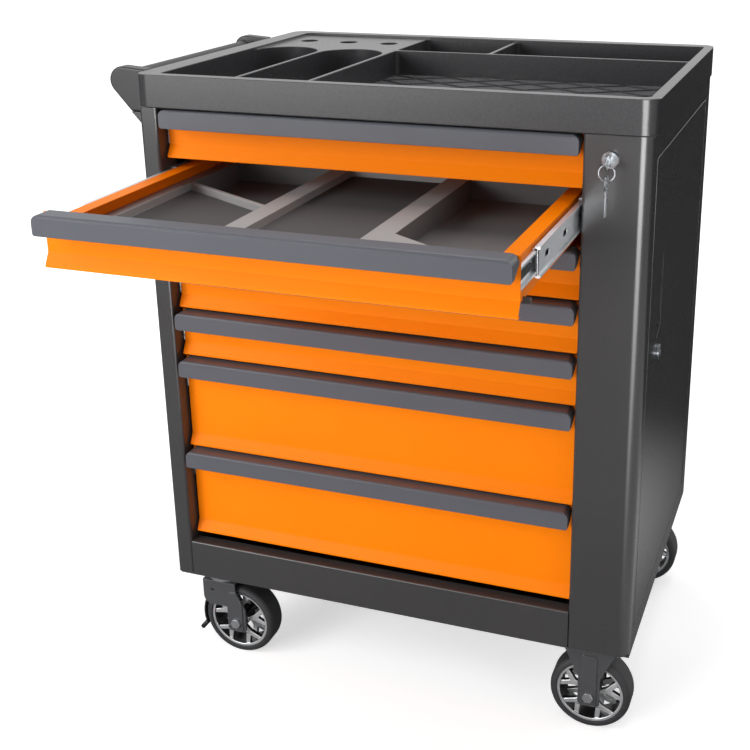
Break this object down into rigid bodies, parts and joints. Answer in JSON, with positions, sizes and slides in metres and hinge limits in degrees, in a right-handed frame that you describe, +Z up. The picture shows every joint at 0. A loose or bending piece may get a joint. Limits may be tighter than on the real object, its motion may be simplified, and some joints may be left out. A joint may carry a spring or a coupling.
{
  "type": "roller tool cabinet",
  "caption": "Steel roller tool cabinet with full-width drawers on ball-bearing slides, a lock column with a side locker, a moulded top tray, a push handle and spoked casters.",
  "frame": {"origin": "on the floor under the middle of the steel body's footprint, with the wheels standing on the floor", "axes": "+X to the right as seen from the drawer fronts, +Y from the fronts to the back, +Z up"},
  "size_m": [0.82, 0.853, 0.984],
  "materials": {
    "body_paint": "charcoal powder coat, fine satin texture",
    "drawer_paint": "orange powder coat, satin",
    "pull_grey": "grey coated extrusion, satin",
    "tray_plastic": "black moulded plastic, fine grain",
    "handle_plastic": "black moulded plastic, smooth satin",
    "zinc_steel": "bright zinc-plated steel",
    "plate_zinc": "zinc-plated steel",
    "lock_chrome": "polished chrome",
    "key_steel": "nickel-plated steel",
    "fork_paint": "grey stove enamel",
    "tyre_rubber": "dark grey solid rubber",
    "rim_chrome": "bright plated casting",
    "pedal_plastic": "black moulded plastic",
    "organiser_plastic": "grey moulded plastic"
  },
  "bodies": {
    "cabinet": {"side_panel_left": "body_paint", "rear_wrapper": "body_paint", "base_pan": "body_paint", "right_frame": "body_paint", "partition": "body_paint", "top_tray": "tray_plastic", "push_handle": "handle_plastic", "slide_outer_members": "zinc_steel", "lock_barrel": "lock_chrome", "rigid_forks": "fork_paint", "swivel_plates": "plate_zinc", "rigid_axles": "plate_zinc"},
    "drawer_1": {"drawer_1_box": "drawer_paint", "drawer_1_pull": "pull_grey", "drawer_1_runners": "zinc_steel"},
    "slide_1": {"drawer_1_slide_middle": "zinc_steel"},
    "drawer_2": {"drawer_2_box": "drawer_paint", "drawer_2_pull": "pull_grey", "drawer_2_runners": "zinc_steel", "organiser": "organiser_plastic"},
    "slide_2": {"drawer_2_slide_middle": "zinc_steel"},
    "drawer_3": {"drawer_3_box": "drawer_paint", "drawer_3_pull": "pull_grey", "drawer_3_runners": "zinc_steel"},
    "slide_3": {"drawer_3_slide_middle": "zinc_steel"},
    "drawer_4": {"drawer_4_box": "drawer_paint", "drawer_4_pull": "pull_grey", "drawer_4_runners": "zinc_steel"},
    "slide_4": {"drawer_4_slide_middle": "zinc_steel"},
    "drawer_5": {"drawer_5_box": "drawer_paint", "drawer_5_pull": "pull_grey", "drawer_5_runners": "zinc_steel"},
    "slide_5": {"drawer_5_slide_middle": "zinc_steel"},
    "drawer_6": {"drawer_6_box": "drawer_paint", "drawer_6_pull": "pull_grey", "drawer_6_runners": "zinc_steel"},
    "slide_6": {"drawer_6_slide_middle": "zinc_steel"},
    "drawer_7": {"drawer_7_box": "drawer_paint", "drawer_7_pull": "pull_grey", "drawer_7_runners": "zinc_steel"},
    "slide_7": {"drawer_7_slide_middle": "zinc_steel"},
    "front_key": {"front_key": "lock_chrome"},
    "spare_key": {"spare_key": "key_steel"},
    "locking_bar": {"lock_bar": "zinc_steel"},
    "side_door": {"side_door": "body_paint"},
    "door_lock": {"door_lock": "lock_chrome"},
    "caster_front": {"swivel_fork_front": "fork_paint", "swivel_axle_front": "plate_zinc"},
    "brake_front": {"brake_pedal_front": "pedal_plastic"},
    "caster_rear": {"swivel_fork_rear": "fork_paint", "swivel_axle_rear": "plate_zinc"},
    "brake_rear": {"brake_pedal_rear": "pedal_plastic"},
    "wheel_front_left": {"tyre_front_left": "tyre_rubber", "rim_front_left": "rim_chrome"},
    "wheel_front_right": {"tyre_front_right": "tyre_rubber", "rim_front_right": "rim_chrome"},
    "wheel_rear_left": {"tyre_rear_left": "tyre_rubber", "rim_rear_left": "rim_chrome"},
    "wheel_rear_right": {"tyre_rear_right": "tyre_rubber", "rim_rear_right": "rim_chrome"}
  },
  "joints": [
    {"name": "drawer_1_slide", "type": "slide", "parent": "cabinet", "child": "drawer_1", "axis": [0, -1, 0], "range_m": [0, 0.4]},
    {"name": "slide_1_travel", "type": "slide", "parent": "cabinet", "child": "slide_1", "axis": [0, -1, 0], "range_m": [0, 0.3]},
    {"name": "drawer_2_slide", "type": "slide", "parent": "cabinet", "child": "drawer_2", "axis": [0, -1, 0], "range_m": [-0.305, 0.095]},
    {"name": "slide_2_travel", "type": "slide", "parent": "cabinet", "child": "slide_2", "axis": [0, -1, 0], "range_m": [-0.22875, 0.07125]},
    {"name": "drawer_3_slide", "type": "slide", "parent": "cabinet", "child": "drawer_3", "axis": [0, -1, 0], "range_m": [0, 0.4]},
    {"name": "slide_3_travel", "type": "slide", "parent": "cabinet", "child": "slide_3", "axis": [0, -1, 0], "range_m": [0, 0.3]},
    {"name": "drawer_4_slide", "type": "slide", "parent": "cabinet", "child": "drawer_4", "axis": [0, -1, 0], "range_m": [0, 0.4]},
    {"name": "slide_4_travel", "type": "slide", "parent": "cabinet", "child": "slide_4", "axis": [0, -1, 0], "range_m": [0, 0.3]},
    {"name": "drawer_5_slide", "type": "slide", "parent": "cabinet", "child": "drawer_5", "axis": [0, -1, 0], "range_m": [0, 0.4]},
    {"name": "slide_5_travel", "type": "slide", "parent": "cabinet", "child": "slide_5", "axis": [0, -1, 0], "range_m": [0, 0.3]},
    {"name": "drawer_6_slide", "type": "slide", "parent": "cabinet", "child": "drawer_6", "axis": [0, -1, 0], "range_m": [0, 0.4]},
    {"name": "slide_6_travel", "type": "slide", "parent": "cabinet", "child": "slide_6", "axis": [0, -1, 0], "range_m": [0, 0.3]},
    {"name": "drawer_7_slide", "type": "slide", "parent": "cabinet", "child": "drawer_7", "axis": [0, -1, 0], "range_m": [0, 0.4]},
    {"name": "slide_7_travel", "type": "slide", "parent": "cabinet", "child": "slide_7", "axis": [0, -1, 0], "range_m": [0, 0.3]},
    {"name": "front_key_turn", "type": "hinge", "parent": "cabinet", "child": "front_key", "pos_m": [0.32, -0.27, 0.9], "axis": [0, -1, 0], "range_deg": [0, 90]},
    {"name": "locking_bar_lift", "type": "slide", "parent": "cabinet", "child": "locking_bar", "axis": [0, 0, 1], "range_m": [-0.009, 0]},
    {"name": "spare_key_swing", "type": "hinge", "parent": "front_key", "child": "spare_key", "pos_m": [0.32, -0.292, 0.893], "axis": [0, -1, 0], "range_deg": [-90, 0]},
    {"name": "side_door_hinge", "type": "hinge", "parent": "cabinet", "child": "side_door", "pos_m": [0.367, 0.226, 0.5455], "axis": [0, 0, 1], "range_deg": [0, 100]},
    {"name": "door_lock_turn", "type": "hinge", "parent": "side_door", "child": "door_lock", "pos_m": [0.375, -0.152, 0.599], "axis": [1, 0, 0], "range_deg": [0, 90]},
    {"name": "caster_front_swivel", "type": "hinge", "parent": "cabinet", "child": "caster_front", "pos_m": [-0.317, -0.217, 0.158], "axis": [0, 0, 1], "continuous": true},
    {"name": "brake_front_press", "type": "hinge", "parent": "caster_front", "child": "brake_front", "pos_m": [-0.32979, -0.217, 0.11727], "axis": [0, 1, 0], "range_deg": [0, 15]},
    {"name": "caster_rear_swivel", "type": "hinge", "parent": "cabinet", "child": "caster_rear", "pos_m": [-0.317, 0.217, 0.158], "axis": [0, 0, 1], "continuous": true},
    {"name": "brake_rear_press", "type": "hinge", "parent": "caster_rear", "child": "brake_rear", "pos_m": [-0.32979, 0.217, 0.11727], "axis": [0, 1, 0], "range_deg": [0, 15]},
    {"name": "wheel_front_left_roll", "type": "hinge", "parent": "caster_front", "child": "wheel_front_left", "pos_m": [-0.287, -0.217, 0.0625], "axis": [0, 1, 0], "continuous": true},
    {"name": "wheel_front_right_roll", "type": "hinge", "parent": "cabinet", "child": "wheel_front_right", "pos_m": [0.313, -0.217, 0.0625], "axis": [0, 1, 0], "continuous": true},
    {"name": "wheel_rear_left_roll", "type": "hinge", "parent": "caster_rear", "child": "wheel_rear_left", "pos_m": [-0.287, 0.217, 0.0625], "axis": [0, 1, 0], "continuous": true},
    {"name": "wheel_rear_right_roll", "type": "hinge", "parent": "cabinet", "child": "wheel_rear_right", "pos_m": [0.313, 0.217, 0.0625], "axis": [0, 1, 0], "continuous": true}
  ],
  "couplings": [
    {"joint": "slide_1_travel", "follows": "drawer_1_slide", "ratio": 0.75},
    {"joint": "slide_2_travel", "follows": "drawer_2_slide", "ratio": 0.75},
    {"joint": "slide_3_travel", "follows": "drawer_3_slide", "ratio": 0.75},
    {"joint": "slide_4_travel", "follows": "drawer_4_slide", "ratio": 0.75},
    {"joint": "slide_5_travel", "follows": "drawer_5_slide", "ratio": 0.75},
    {"joint": "slide_6_travel", "follows": "drawer_6_slide", "ratio": 0.75},
    {"joint": "slide_7_travel", "follows": "drawer_7_slide", "ratio": 0.75},
    {"joint": "front_key_turn", "follows": "locking_bar_lift", "rad_per_m": -174.53},
    {"joint": "spare_key_swing", "follows": "locking_bar_lift", "rad_per_m": 174.53}
  ]
}
